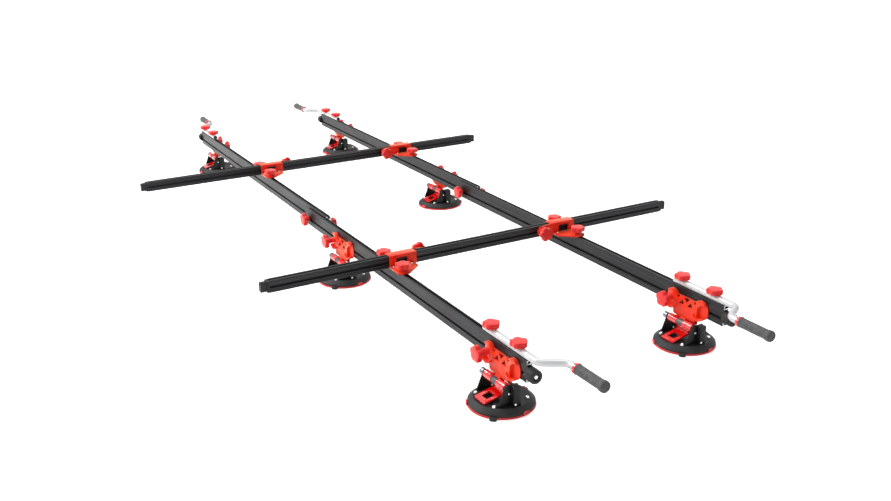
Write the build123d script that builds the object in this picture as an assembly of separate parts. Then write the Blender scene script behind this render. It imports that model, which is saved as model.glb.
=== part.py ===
from build123d import *
import os
from math import atan2, cos, radians, sin, sqrt, tan

# Slab carrying frame: two telescoping rails on six suction cups, two crossbars clamped across them,
# four lifting handles. Millimetres, X along the crossbars, Y along the rails, Z up, floor at zero.
# The origin is the middle of the whole outline, on the floor.
# Thirty knobs and six cups repeat, so their rims and small holes are drawn with a few flats each.

os.makedirs("parts", exist_ok=True)

# Rails: each side is a front and a rear profile lying against each other
RAIL_W = 19.6
RAIL_H = 68
RAIL_TOP = 182.5
RAIL_BASE = RAIL_TOP - RAIL_H
RAIL_INNER = 348
RAIL_OUTER = 368
RAIL_EDGE = 1.2
UPPER_ROOM_H = 18
UPPER_ROOM_Z = RAIL_TOP - 22.5
LOWER_ROOM_H = 10
LOWER_ROOM_Z = RAIL_BASE + 9
FRONT_START = -1580
LEFT_FRONT_END = 45
RIGHT_FRONT_END = 60
LEFT_REAR_START = -130
RIGHT_REAR_START = -85
LEFT_REAR_END = 1615
RIGHT_REAR_END = 1670

# Clamping slots, shared by rails and crossbars
SLOT_OPEN = 8.6
SLOT_LIP = 3
SLOT_ROOM_W = 14
SLOT_ROOM_D = 6
SIDE_LIP = 2.2
SIDE_ROOM_H = 13
SIDE_DEPTH = 6.6
SIDE_Z = 139.5

# Crossbars
BAR_W = 28
BAR_H = 40.5
BAR_LEN = 1600
BAR_LIFT = 0.5
BAR_BASE = RAIL_TOP + BAR_LIFT
BAR_HOLLOW_W = 8
BAR_HOLLOW_H = 19
FRONT_BAR_X = -12.5
FRONT_BAR_Y = -747
REAR_BAR_X = -77
REAR_BAR_Y = 613
PLUG_LEN = 28
PLUG_STEP = 8
PLUG_INSET = 1
PLUG_NOSE_INSET = 3.5
PLUG_NOSE_CORNER = 4
PLUG_SCREW = 8

# Saddle brackets, drawn on the rail's centre line with +X pointing to the middle of the frame
WALL = 5
BAR_GAP = 0.3
SADDLE_OUT = -22
SADDLE_IN = 80
CHEEK_IN = 148
CLAMP_X = 124
FLANGE_T = 6
FLANGE_RELIEF = 1.2
FOOT_GAP = 0.2
FOOT_W = 17
FLANGE_REACH = 98
CLAMP_Y = 60
WINDOW_W = 34
WINDOW_H = 24
WINDOW_X = 46
SADDLE_EDGE = 3
CHEEK_TOE = 14
CHEEK_LOW = 4
CHEEK_SIDE = (14, 30)
CHEEK_TOP = 38
CHEEK_CORNER = 10
FLANGE_OUT = -24
FLANGE_TIP = 14
FLANGE_CORNER = 12
FLANGE_IN = 70
FLANGE_WAIST = 50
FOOT_MARGIN = 2

# Knobs
KNOB_R = 26.5
KNOB_WAIST_R = 23
KNOB_T = 16
LOBES = 5
LOBE_HALF = 19
STEM_R = 11
STEM_FLATS = 6
CLAMP_STEM = 11
SIDE_STEM = 24
HANDLE_STEM = 0.5
SPLICE_STEM = 12
ARM_STEM = 31
STUD_W = 5.6
STUD_HOLE = 6.6
TEE_W = 11
TEE_T = 3
RUN_GAP = 0.3

# Handles
TUBE_R = 11
TUBE_BORE_R = 9
TUBE_BORE_LEN = 24
TUBE_FLATS = 10
GRIP_FLATS = 12
TUBE_Z = RAIL_TOP + sqrt(TUBE_R ** 2 - (SLOT_OPEN / 2) ** 2)
TUBE_INNER = 230
TUBE_BEND = -40
TUBE_JOG = 68
TUBE_JOG_RUN = 44
TUBE_BEND_R = 30
GRIP_START = 117
GRIP_LEN = 128
GRIP_R = 15
GRIP_END_R = 17
GRIP_SWELL = 24
GRIP_NOSE = 5
GRIP_WALL_END = 10
HANDLE_KNOBS = (198, 54)
BUFFER_R = 20.5
BUFFER_FLATS = 16
BUFFER_LEN = 34
BUFFER_NOSE = 3
BUFFER_Z = 145

# Splice knobs: front profiles near their rear end, rear profiles near their front end
FRONT_SPLICE_Y = 12
LEFT_REAR_SPLICE_Y = -101
RIGHT_REAR_SPLICE_Y = -60

# Suction cups, drawn about the pad's centre with the lever towards -X
PAD_R = 100
PAD_H = 10
PAD_LIP = 8
PAD_DISH = 4
RIM_FLATS = 24
POCKET_FLATS = 12
DISC_R = 98
DISC_BEVEL = 16
DISC_BEVEL_H = 12
DISC_TOP = 24
TAB_ANGLES = (154, 14, -76)
TAB_W = 24
TAB_IN = 98.4
TAB_OUT = 102
TAB_BASE = 3
TAB_H = 11
AXLE_X = -17
AXLE_Z = 75
AXLE_R = 8.5
AXLE_FRONT = -57.8
AXLE_REAR = 78
AXLE_CLEAR = 0.08
CUP_OUT = 4.8

# Cup bracket: an ear at each end of the lever, each with a boxed stiffener on its outside
EAR_Y = 56
EAR_T = 4
EAR_FRONT = -48
EAR_BACK = 19
EAR_EYE = 11
EAR_SKIN = 2
EAR_CORNER = 4
SHEET_T = 3
BOX_FRONT = -7
BOX_BACK = 16
BOX_OUT = 77
BOX_TOP = 86
BOX_CORNER = 5

# Lever
BARREL_R = 12.5
BARREL_IN = 13.5
BARREL_OUT = 54
BARREL_FLATS = 10
BORE_FLATS = 6
LEVER_HALF = 27.5
LEVER_TIP_X = -75
LEVER_TIP_Z = 25.5
LEVER_TIP_T = 4
LEVER_CORNER = 6
HEEL_Z = 44.5
HEEL_T = 5
HEEL_CORNER = 2
RISER_FRONT = -13
RISER_BACK = -6
RISER_TAPER = 6
FINGER_FRONT = -57
FINGER_BACK = -30
FINGER_HALF = 14
NOTCH_Z = 58

# Arms: a bow-tie plate on the rail's face with a thicker middle that carries the axle
ARM_T = 9
LOBE_Y = 64
LOBE_R = 28.5
LOBE_DROP = 8
LOBE_FLATS = 12
LIP_R = 24.5
LIP_OUT = 11
WEB_TOP = 156
WEB_BASE = 88
WEB_HALF = 36
WEB_CREST = 3
WEB_OUT = 15.5
NECK_TOP = 92
LUG_R = 11
LUG_HALF = 12.5

# Truss openings in an arm's middle: three point down, the two between them point up
TRUSS_HALF = 8
TRUSS_TOP = (153, 143)
TRUSS_TOP_Y = (-38, 0, 38)
TRUSS_LOW = (131, 144)
TRUSS_LOW_Y = (-19, 19)

# Arm places along the rails: front profiles carry arms on their left face, rear ones on their right face
FRONT_CUPS = {"near_left": -1460, "mid_left": -344, "near_right": -1425}
REAR_CUPS = {"far_left": 1446, "mid_right": 298, "far_right": 1472}

# Middle of the whole outline, measured from the middle between the rails
BAR_TIP = BAR_LEN / 2 + PLUG_LEN
MID_X = (REAR_BAR_X - BAR_TIP + FRONT_BAR_X + BAR_TIP) / 2
MID_Y = (FRONT_START + RIGHT_REAR_END) / 2
HOME = Pos(-MID_X, -MID_Y, 0)


def save(name, *solids):
    placed = [HOME * solid for solid in solids]
    export_step(placed[0] if len(placed) == 1 else Compound(children=placed), f"parts/{name}.step")


def along_y(x, y0, y1, sketch):
    """Sketch drawn with X right and Y up, stood on edge and drawn out from y0 to y1."""
    stand = Plane(origin=(x, y1, 0), x_dir=(1, 0, 0), z_dir=(0, -1, 0))
    return extrude(stand * sketch, amount=y1 - y0)


def along_x(x0, x1, sketch):
    """Sketch drawn with X along the rails and Y up, drawn out from x0 to x1."""
    return extrude(Plane(origin=(x0, 0, 0), x_dir=(0, 1, 0), z_dir=(1, 0, 0)) * sketch, amount=x1 - x0)


def top_slot(top):
    neck = Pos(0, top - SLOT_LIP / 2) * Rectangle(SLOT_OPEN, SLOT_LIP)
    return neck + Pos(0, top - SLOT_LIP - SLOT_ROOM_D / 2) * Rectangle(SLOT_ROOM_W, SLOT_ROOM_D)


def side_slots(width, z):
    slots = Sketch()
    for side in (-1, 1):
        neck_x = side * (width - SIDE_LIP) / 2
        room_x = side * (width - SIDE_LIP - SIDE_DEPTH) / 2
        slots += Pos(neck_x, z) * Rectangle(SIDE_LIP, SLOT_OPEN)
        slots += Pos(room_x, z) * Rectangle(SIDE_DEPTH - SIDE_LIP, SIDE_ROOM_H)
    return slots


def rail_section():
    shell = Pos(0, RAIL_TOP - RAIL_H / 2) * Rectangle(RAIL_W, RAIL_H)
    shell = chamfer(shell.vertices(), RAIL_EDGE)
    upper = Pos(0, UPPER_ROOM_Z) * Rectangle(SLOT_ROOM_W, UPPER_ROOM_H)
    lower = Pos(0, LOWER_ROOM_Z) * Rectangle(SLOT_ROOM_W, LOWER_ROOM_H)
    return shell - top_slot(RAIL_TOP) - side_slots(RAIL_W, SIDE_Z) - upper - lower


def stud_hole():
    return Rectangle(STUD_HOLE, STUD_HOLE)


def rail(x, y0, y1, splice_y):
    bored = along_x(x - RAIL_W / 2, x + RAIL_W / 2, Pos(splice_y, SIDE_Z) * stud_hole())
    return along_y(x, y0, y1, rail_section()) - bored


def crossbar(x, y):
    shell = Pos(0, BAR_BASE + BAR_H / 2) * Rectangle(BAR_W, BAR_H)
    shell = chamfer(shell.vertices(), RAIL_EDGE)
    middle = BAR_BASE + BAR_H / 2
    hollow = Pos(0, middle - SLOT_LIP) * Rectangle(BAR_HOLLOW_W, BAR_HOLLOW_H)
    section = shell - top_slot(BAR_BASE + BAR_H) - side_slots(BAR_W, middle) - hollow
    return Pos(0, y, 0) * along_x(x - BAR_LEN / 2, x + BAR_LEN / 2, section)


def end_plug(x, y, side):
    """Stepped plug in a crossbar's end, with two screw holes in its face."""
    middle = BAR_BASE + BAR_H / 2
    seat = Pos(0, middle) * Rectangle(BAR_W - 2 * PLUG_INSET, BAR_H - 2 * PLUG_INSET)
    nose = Pos(0, middle) * Rectangle(BAR_W - 2 * PLUG_NOSE_INSET, BAR_H - 2 * PLUG_NOSE_INSET)
    nose = chamfer(nose.vertices(), PLUG_NOSE_CORNER)
    spigot = Pos(0, middle - SLOT_LIP) * Rectangle(BAR_HOLLOW_W, BAR_HOLLOW_H)
    end = BAR_LEN / 2
    plug = along_x(end, end + PLUG_STEP, seat) + along_x(end + PLUG_STEP, end + PLUG_LEN, nose)
    plug += along_x(end - PLUG_LEN, end, spigot)
    holes = Pos(0, middle + PLUG_SCREW) * stud_hole() + Pos(0, middle - PLUG_SCREW) * stud_hole()
    plug -= along_x(end + PLUG_STEP, end + PLUG_LEN, holes)
    turned = plug if side > 0 else Rot(0, 0, 180) * plug
    return Pos(x, y, 0) * turned


def knob(stem, stud):
    """Lobed knob standing on its seat at zero; its stud goes down to a tee that grips a slot."""
    outline = []
    for lobe in range(LOBES):
        middle = 360 / LOBES * lobe
        for angle, radius in ((-LOBE_HALF, KNOB_R), (LOBE_HALF, KNOB_R), (180 / LOBES, KNOB_WAIST_R)):
            turn = radians(middle + angle)
            outline.append((radius * cos(turn), radius * sin(turn)))
    face = make_face(Polyline(*outline, close=True))
    body = extrude(Pos(0, 0, stem) * face, amount=KNOB_T)
    body += extrude(RegularPolygon(STEM_R, STEM_FLATS), amount=stem)
    tee = Pos(0, 0, -stud + TEE_T / 2) * Box(TEE_W, STUD_W, TEE_T)
    return body + extrude(Rectangle(STUD_W, STUD_W), amount=-stud) + tee


def saddle_bracket():
    """Red saddle over a crossbar, with a flange to each side that bolts to the rail's top slot."""
    inner = BAR_W / 2 + BAR_GAP
    outer = inner + WALL
    top = BAR_LIFT + BAR_H + BAR_GAP
    over = Pos(0, (top + WALL + FLANGE_RELIEF) / 2) * Rectangle(2 * outer, top + WALL - FLANGE_RELIEF)
    over = chamfer(over.vertices().sort_by(Axis.Y)[-2:], SADDLE_EDGE)
    body = along_x(SADDLE_OUT, SADDLE_IN, over)
    low, high = CHEEK_SIDE
    cheek = Polyline((SADDLE_IN, FLANGE_RELIEF), (CHEEK_IN - CHEEK_TOE, CHEEK_LOW), (CHEEK_IN, low),
                     (CHEEK_IN, high), (CHEEK_IN - CHEEK_CORNER, CHEEK_TOP), (SADDLE_IN, top + WALL),
                     close=True)
    body += along_y(0, -outer, -inner, make_face(cheek))
    plan = make_face(Polyline((FLANGE_OUT, inner), (FLANGE_OUT, FLANGE_REACH - FLANGE_CORNER),
                              (-FLANGE_TIP, FLANGE_REACH), (FLANGE_TIP, FLANGE_REACH),
                              (FLANGE_IN, FLANGE_WAIST), (FLANGE_IN, inner), close=True))
    foot = Pos(0, (inner + FLANGE_REACH) / 2) * Rectangle(FOOT_W, FLANGE_REACH - inner - FOOT_MARGIN)
    flange = extrude(Pos(0, 0, FLANGE_RELIEF) * plan, amount=FLANGE_T)
    flange += extrude(Pos(0, 0, FOOT_GAP) * foot, amount=FLANGE_RELIEF)
    body += flange + mirror(flange, about=Plane.XZ)
    window = Pos(WINDOW_X, BAR_BASE - RAIL_TOP + BAR_H / 2) * Rectangle(WINDOW_W, WINDOW_H)
    body -= along_y(0, -outer, outer, window)
    body -= along_x(SADDLE_OUT, CHEEK_IN, Pos(0, top / 2) * Rectangle(2 * inner, top))
    bolts = Pos(0, CLAMP_Y) * stud_hole() + Pos(0, -CLAMP_Y) * stud_hole()
    body -= extrude(bolts, amount=FLANGE_RELIEF + FLANGE_T)
    clamp_z = BAR_LIFT + BAR_H / 2
    return body - along_y(0, -outer, -inner, Pos(CLAMP_X, clamp_z) * stud_hole())


def clamp_knobs():
    """The three knobs of one saddle bracket: two down into the rail, one sideways into the bar."""
    seat = FLANGE_RELIEF + FLANGE_T
    upright = knob(CLAMP_STEM, seat + SLOT_LIP + RUN_GAP + TEE_T)
    outer = BAR_W / 2 + BAR_GAP + WALL
    side_on = Rot(90, 0, 0) * Rot(0, 0, 90) * knob(SIDE_STEM, WALL + BAR_GAP + SIDE_LIP + TEE_T)
    return [Pos(0, CLAMP_Y, seat) * upright,
            Pos(0, -CLAMP_Y, seat) * upright,
            Pos(CLAMP_X, -outer, BAR_LIFT + BAR_H / 2) * side_on]


def handle_path():
    """Centre line of a handle from its open end on the rail to inside its grip, jogging to +X."""
    slope = atan2(TUBE_JOG, TUBE_JOG_RUN)
    setback = TUBE_BEND_R * tan(slope / 2)
    inset = TUBE_BEND_R * (1 - cos(slope / 2))
    halfway = TUBE_BEND_R * sin(slope / 2)
    leave_x, leave_y = setback * sin(slope), setback * cos(slope)
    first, second = TUBE_BEND, TUBE_BEND - TUBE_JOG_RUN
    grip_end = -(GRIP_START + GRIP_LEN - GRIP_WALL_END)
    return Polyline((0, TUBE_INNER), (0, first + setback), (inset, first + setback - halfway),
                    (leave_x, first - leave_y), (TUBE_JOG - leave_x, second + leave_y),
                    (TUBE_JOG - inset, second - setback + halfway), (TUBE_JOG, second - setback),
                    (TUBE_JOG, grip_end))


def tube_section():
    return Rot(0, 0, 180 / TUBE_FLATS) * RegularPolygon(TUBE_R, TUBE_FLATS)


def handle_tube():
    """Bent tube, drawn with the rail's end at y = 0 and the rail on its +Y side."""
    start = Plane(origin=(0, TUBE_INNER, 0), x_dir=(1, 0, 0), z_dir=(0, -1, 0))
    tube = sweep(start * tube_section(), path=handle_path(), transition=Transition.RIGHT)
    tube -= along_y(0, TUBE_INNER - TUBE_BORE_LEN, TUBE_INNER, RegularPolygon(TUBE_BORE_R, TUBE_FLATS))
    for y in HANDLE_KNOBS:
        tube -= extrude(Pos(0, y, -TUBE_R) * stud_hole(), amount=2 * TUBE_R)
    return Pos(0, 0, TUBE_Z) * tube


def grip():
    """Rubber grip with a swollen end, on the outer run of the tube."""
    swell = GRIP_LEN - GRIP_SWELL
    body = extrude(RegularPolygon(GRIP_R, GRIP_FLATS), amount=swell)
    end = extrude(Pos(0, 0, swell) * RegularPolygon(GRIP_END_R, GRIP_FLATS), amount=GRIP_LEN - swell)
    body += chamfer(end.faces().sort_by(Axis.Z)[-1].edges(), GRIP_NOSE)
    body -= extrude(tube_section(), amount=GRIP_LEN - GRIP_WALL_END)
    return Pos(TUBE_JOG, -GRIP_START, TUBE_Z) * Rot(90, 0, 0) * body


def buffer():
    """Round end buffer on a rail's end face."""
    body = extrude(RegularPolygon(BUFFER_R, BUFFER_FLATS), amount=BUFFER_LEN)
    body = chamfer(body.faces().sort_by(Axis.Z)[-1].edges(), BUFFER_NOSE)
    return Pos(0, 0, BUFFER_Z) * Rot(90, 0, 0) * body


def handle_knob(y):
    seat = TUBE_Z + TUBE_R
    return Pos(0, y, seat) * knob(HANDLE_STEM, seat - RAIL_TOP + SLOT_LIP + TEE_T)


def splice_knob(face_x, side, y):
    """Knob on a profile's outer face; its stud crosses that profile to the slot of the next one."""
    gap = RAIL_OUTER - RAIL_INNER - RAIL_W
    reach = RAIL_W + gap + SIDE_LIP + RUN_GAP + TEE_T
    return Pos(face_x, y, SIDE_Z) * Rot(0, side * 90, 0) * knob(SPLICE_STEM, reach)


def pad():
    """Red rubber pad with a suction hollow underneath and upturned release tabs round its rim."""
    body = extrude(RegularPolygon(PAD_R, RIM_FLATS), amount=PAD_H)
    body -= extrude(RegularPolygon(PAD_R - PAD_LIP, POCKET_FLATS), amount=PAD_DISH)
    tab = Pos((TAB_IN + TAB_OUT) / 2, 0, TAB_BASE + TAB_H / 2) * Box(TAB_OUT - TAB_IN, TAB_W, TAB_H)
    for angle in TAB_ANGLES:
        body += Rot(0, 0, angle) * tab
    return body


def disc():
    """Black backing disc with a broad bevel round its flat top."""
    body = extrude(Pos(0, 0, PAD_H) * RegularPolygon(DISC_R, RIM_FLATS), amount=DISC_TOP - PAD_H)
    crown = body.faces().sort_by(Axis.Z)[-1]
    return chamfer(crown.edges(), DISC_BEVEL, DISC_BEVEL_H, reference=crown)


def bore():
    """Running hole for the axle, with flats that just clear it."""
    return Pos(AXLE_X, AXLE_Z) * RegularPolygon(AXLE_R + AXLE_CLEAR, BORE_FLATS, major_radius=False)


def cup_bracket():
    """Folded sheet: a base on the disc, an upright ear at each end of the lever, a box outside each ear."""
    shoulder = EAR_EYE * sqrt(0.5)
    ear = make_face(Polyline((EAR_FRONT, DISC_TOP), (AXLE_X - EAR_EYE, AXLE_Z),
                             (AXLE_X - shoulder, AXLE_Z + shoulder), (AXLE_X, AXLE_Z + EAR_EYE),
                             (AXLE_X + shoulder, AXLE_Z + shoulder), (EAR_BACK - EAR_CORNER, BOX_TOP),
                             (EAR_BACK, BOX_TOP - EAR_CORNER), (EAR_BACK, DISC_TOP), close=True))
    box = Polyline((BOX_FRONT, DISC_TOP), (BOX_FRONT, BOX_TOP), (BOX_BACK - BOX_CORNER, BOX_TOP),
                   (BOX_BACK, BOX_TOP - BOX_CORNER), (BOX_BACK, DISC_TOP), close=True)
    side = along_y(0, EAR_Y, EAR_Y + EAR_T, ear - bore())
    side += along_y(0, EAR_Y + EAR_T, BOX_OUT, make_face(box))
    blind = along_y(0, -EAR_Y - EAR_T, -EAR_Y - EAR_T + EAR_SKIN, bore())
    base_mid = (EAR_FRONT + EAR_BACK) / 2
    base = Pos(base_mid, 0, DISC_TOP + SHEET_T / 2) * Box(EAR_BACK - EAR_FRONT, 2 * EAR_Y, SHEET_T)
    return base + side + mirror(side, about=Plane.XZ) + blind


def lever():
    """Glossy release lever: a paddle with a finger opening, a riser at its heel, two barrels on the axle."""
    barrel_low = AXLE_Z - BARREL_R * sqrt(0.5)
    section = make_face(Polyline((LEVER_TIP_X, LEVER_TIP_Z), (LEVER_TIP_X, LEVER_TIP_Z + LEVER_TIP_T),
                                 (RISER_FRONT, HEEL_Z), (RISER_FRONT, barrel_low),
                                 (RISER_BACK - HEEL_CORNER, barrel_low),
                                 (RISER_BACK, barrel_low - RISER_TAPER),
                                 (RISER_BACK, HEEL_Z - HEEL_T + HEEL_CORNER),
                                 (RISER_BACK - HEEL_CORNER, HEEL_Z - HEEL_T), close=True))
    plate = along_y(0, -LEVER_HALF, LEVER_HALF, section)
    corners = plate.edges().filter_by(Axis.Z).sort_by(Axis.X)[:2]
    plate = chamfer(corners, LEVER_CORNER)
    finger_mid = (FINGER_FRONT + FINGER_BACK) / 2
    plate -= Pos(finger_mid, 0, LEVER_TIP_Z) * Box(FINGER_BACK - FINGER_FRONT, 2 * FINGER_HALF, AXLE_Z)
    plate -= Pos(AXLE_X, 0, NOTCH_Z + BARREL_R) * Box(4 * BARREL_R, 2 * BARREL_IN, 2 * BARREL_R)
    ring = Pos(AXLE_X, AXLE_Z) * RegularPolygon(BARREL_R, BARREL_FLATS)
    barrel = along_y(0, BARREL_IN, BARREL_OUT, ring)
    body = plate + barrel + mirror(barrel, about=Plane.XZ)
    return body - along_y(0, -BARREL_OUT, BARREL_OUT, bore())


def axle():
    return along_y(0, AXLE_FRONT, AXLE_REAR, Pos(AXLE_X, AXLE_Z) * Circle(AXLE_R))


def arm_plate(front, face):
    """Bow-tie plate against the rail, with a ledge under each of its two round lobes."""
    lobe = RegularPolygon(LOBE_R, LOBE_FLATS)
    under = Pos(0, -LOBE_R) * Rectangle(2 * LOBE_R, LOBE_R)
    ledge = (lobe - RegularPolygon(LIP_R, LOBE_FLATS)) & under
    foot = SIDE_Z - LOBE_DROP
    low = foot - LOBE_R
    bow = make_face(Polyline((-LOBE_Y, WEB_TOP), (LOBE_Y, WEB_TOP), (LOBE_Y, low), (WEB_HALF, WEB_BASE),
                             (-WEB_HALF, WEB_BASE), (-LOBE_Y, low), close=True))
    ledges = Sketch()
    for side in (-1, 1):
        bow += Pos(side * LOBE_Y, SIDE_Z) * lobe
        bow += Pos(side * LOBE_Y, foot) * lobe
        ledges += Pos(side * LOBE_Y, foot) * ledge
    return along_x(front, face, bow) + along_x(front - LIP_OUT, front, ledges)


def arm_web(front, nose):
    """Thicker middle of the plate, leaning out a little towards its foot."""
    section = Polyline((front, WEB_TOP), (front - WEB_CREST, WEB_TOP), (nose, WEB_BASE),
                       (front, WEB_BASE), close=True)
    return along_y(0, -WEB_HALF, WEB_HALF, make_face(section))


def arm_windows():
    windows = Sketch()
    for places, (base, tip) in ((TRUSS_TOP_Y, TRUSS_TOP), (TRUSS_LOW_Y, TRUSS_LOW)):
        for y in places:
            corners = ((y - TRUSS_HALF, base), (y + TRUSS_HALF, base), (y, tip))
            windows += make_face(Polyline(*corners, close=True))
    return windows


def arm_neck(x0, x1, lug_x):
    """Neck under the web, from x0 to x1, with the lug that holds the axle."""
    neck = Pos((x0 + x1) / 2, (AXLE_Z + NECK_TOP) / 2) * Rectangle(x1 - x0, NECK_TOP - AXLE_Z)
    neck += Pos(lug_x, AXLE_Z) * RegularPolygon(LUG_R, BARREL_FLATS)
    neck -= Pos(lug_x, AXLE_Z) * RegularPolygon(AXLE_R, BORE_FLATS, major_radius=False)
    return along_y(0, -LUG_HALF, LUG_HALF, neck)


def arm(lug_x):
    """Arm on a rail's left face, the rail at +X; a lug at positive x reaches back under the rail."""
    face = CUP_OUT - RUN_GAP
    front = face - ARM_T
    nose = face - WEB_OUT
    body = arm_plate(front, face) + arm_web(front, nose)
    body -= along_x(nose, face, arm_windows())
    body -= along_x(front, face, Pos(LOBE_Y, SIDE_Z) * stud_hole())
    if lug_x < front:
        return body + arm_neck(lug_x - LUG_R / 2, face, lug_x)
    return body + arm_neck(front - LUG_R, lug_x, lug_x)


def arm_knob():
    reach = ARM_T + 2 * RUN_GAP + SIDE_LIP + TEE_T
    return Pos(CUP_OUT - RUN_GAP - ARM_T, LOBE_Y, SIDE_Z) * Rot(0, -90, 0) * knob(ARM_STEM, reach)


def cup(name, x, y, turned):
    """One suction cup with the arm that hangs it; on rear profiles the arm turns half round."""
    place = Pos(x, y, 0)
    hang = place * Rot(0, 0, 180) if turned else place
    lug_x = -AXLE_X if turned else AXLE_X
    save(f"{name}_pad", place * pad())
    save(f"{name}_disc", place * disc())
    save(f"{name}_bracket", place * cup_bracket())
    save(f"{name}_lever", place * lever())
    save(f"{name}_axle", place * axle())
    save(f"{name}_arm", hang * arm(lug_x))
    save(f"{name}_arm_knob", hang * arm_knob())


for cup_name, cup_y in FRONT_CUPS.items():
    rail_x = RAIL_INNER if "right" in cup_name else -RAIL_OUTER
    cup(cup_name, rail_x - RAIL_W / 2 - CUP_OUT, cup_y, False)
for cup_name, cup_y in REAR_CUPS.items():
    rail_x = RAIL_OUTER if "right" in cup_name else -RAIL_INNER
    cup(cup_name, rail_x + RAIL_W / 2 + CUP_OUT, cup_y, True)

save("rail_left_front", rail(-RAIL_OUTER, FRONT_START, LEFT_FRONT_END, FRONT_SPLICE_Y))
save("rail_right_front", rail(RAIL_INNER, FRONT_START, RIGHT_FRONT_END, FRONT_SPLICE_Y))
save("rail_left_rear", rail(-RAIL_INNER, LEFT_REAR_START, LEFT_REAR_END, LEFT_REAR_SPLICE_Y))
save("rail_right_rear", rail(RAIL_OUTER, RIGHT_REAR_START, RIGHT_REAR_END, RIGHT_REAR_SPLICE_Y))

bars = (("front", FRONT_BAR_X, FRONT_BAR_Y, -RAIL_OUTER, RAIL_INNER),
        ("rear", REAR_BAR_X, REAR_BAR_Y, -RAIL_INNER, RAIL_OUTER))
for end, bar_x, bar_y, left_x, right_x in bars:
    save(f"crossbar_{end}", crossbar(bar_x, bar_y), end_plug(bar_x, bar_y, -1), end_plug(bar_x, bar_y, 1))
    left = Pos(left_x, bar_y, RAIL_TOP)
    right = Pos(right_x, bar_y, RAIL_TOP) * Rot(0, 0, 180)
    save(f"saddles_{end}", left * saddle_bracket(), right * saddle_bracket())
    save(f"clamp_knobs_{end}", *[spot * item for spot in (left, right) for item in clamp_knobs()])

corners = (("front", ((-RAIL_OUTER, FRONT_START, False, True), (RAIL_INNER, FRONT_START, False, False))),
           ("rear", ((-RAIL_INNER, LEFT_REAR_END, True, True), (RAIL_OUTER, RIGHT_REAR_END, True, False))))
for end, places in corners:
    tubes = []
    grips = []
    knobs = []
    buffers = []
    for rail_x, rail_y, is_rear, is_left in places:
        spot = Pos(rail_x, rail_y, 0) * Rot(0, 0, 180 if is_rear else 0)
        bends_right = is_left != is_rear
        for items, item in ((tubes, handle_tube()), (grips, grip())):
            items.append(spot * (item if bends_right else mirror(item, about=Plane.YZ)))
        knobs += [spot * handle_knob(y) for y in HANDLE_KNOBS]
        buffers.append(spot * buffer())
    if end == "front":
        for rail_x in (-RAIL_OUTER, RAIL_INNER):
            knobs.append(splice_knob(rail_x - RAIL_W / 2, -1, FRONT_SPLICE_Y))
    else:
        for rail_x, y in ((-RAIL_INNER, LEFT_REAR_SPLICE_Y), (RAIL_OUTER, RIGHT_REAR_SPLICE_Y)):
            knobs.append(splice_knob(rail_x + RAIL_W / 2, 1, y))
    save(f"handle_tubes_{end}", *tubes)
    save(f"handle_grips_{end}", *grips)
    save(f"rail_knobs_{end}", *knobs)
    save(f"rail_buffers_{end}", *buffers)
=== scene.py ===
from math import atan2, cos, degrees, pi, radians, sin, sqrt, tan

import bmesh
import bpy
from mathutils import Matrix, Vector


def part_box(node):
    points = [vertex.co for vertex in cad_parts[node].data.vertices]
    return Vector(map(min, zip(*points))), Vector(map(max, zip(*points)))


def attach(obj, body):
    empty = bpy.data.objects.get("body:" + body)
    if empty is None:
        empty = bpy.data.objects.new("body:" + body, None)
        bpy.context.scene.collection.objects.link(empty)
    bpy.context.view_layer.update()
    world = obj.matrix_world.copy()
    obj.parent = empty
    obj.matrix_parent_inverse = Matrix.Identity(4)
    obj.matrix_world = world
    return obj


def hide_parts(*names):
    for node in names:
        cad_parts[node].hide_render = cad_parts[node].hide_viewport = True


# Slab carrying frame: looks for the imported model. Shapes are drawn in millimetres and set into the frame.

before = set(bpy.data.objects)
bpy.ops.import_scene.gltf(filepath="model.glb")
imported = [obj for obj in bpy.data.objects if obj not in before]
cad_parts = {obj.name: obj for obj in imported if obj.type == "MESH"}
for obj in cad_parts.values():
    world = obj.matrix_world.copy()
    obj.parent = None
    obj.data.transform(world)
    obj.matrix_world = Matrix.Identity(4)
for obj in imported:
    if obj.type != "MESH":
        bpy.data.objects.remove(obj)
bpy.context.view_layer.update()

MM = 0.001
SHARP = radians(38)  # a bend beyond this is an edge
CUPS = ("near_left", "mid_left", "near_right", "far_left", "mid_right", "far_right")
REAR_CUPS = ("far_left", "mid_right", "far_right")

# Sizes in millimetres. Most are the solids' own; where the solids depart from the photograph,
# these follow the photograph.

# Suction cup
AXLE_X = -17
AXLE_Z = 75
AXLE_R = 8.5
AXLE_FRONT = -57.8
AXLE_REAR = 78
PAD_TABS = (156, 14, -78)
TAB_HALF = 11
TAB_CORNER = 5
TAB_T = 3.4
TAB_R = 98.6
TAB_Z = 3
DISC_TOP = 24
PULL_ANGLE = 225
PULL_IN = 94
PULL_OUT = 103
PULL_HALF = 11
PULL_CORNER = 8
PULL_T = 9
NUT_X = 55.5
NUT_Y = 49.6
EAR_Y = 56
EAR_T = 4
EAR_FRONT = -48
EAR_BACK = 19
EAR_EYE = 11
EAR_CORNER = 6
SHEET_T = 3
SHEET_EDGE = 0.6
BOX_FRONT = -7
BOX_BACK = 16
BOX_OUT = 77
BOX_TOP = 86
LOW_TOP = 66
BOX_CORNER = 5
COLLAR_R = 10.4
SLEEVE_R = 12
BARREL_R = 13.4
BARREL_IN = 13.5
BARREL_OUT = 54
LEVER_T = 5
LEVER_HALF = 27.5
LEVER_CORNER = 6
LEVER_NOTCH = 9
LEVER_SLOT = ((21, -11), (42, 11))
PADDLE_TIP = (-74, 25.2)
HEEL_X = -12.4
HEEL_Z = 45.4
HEEL_R = 6
RISER_TOP = (-6.4, 67)

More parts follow.
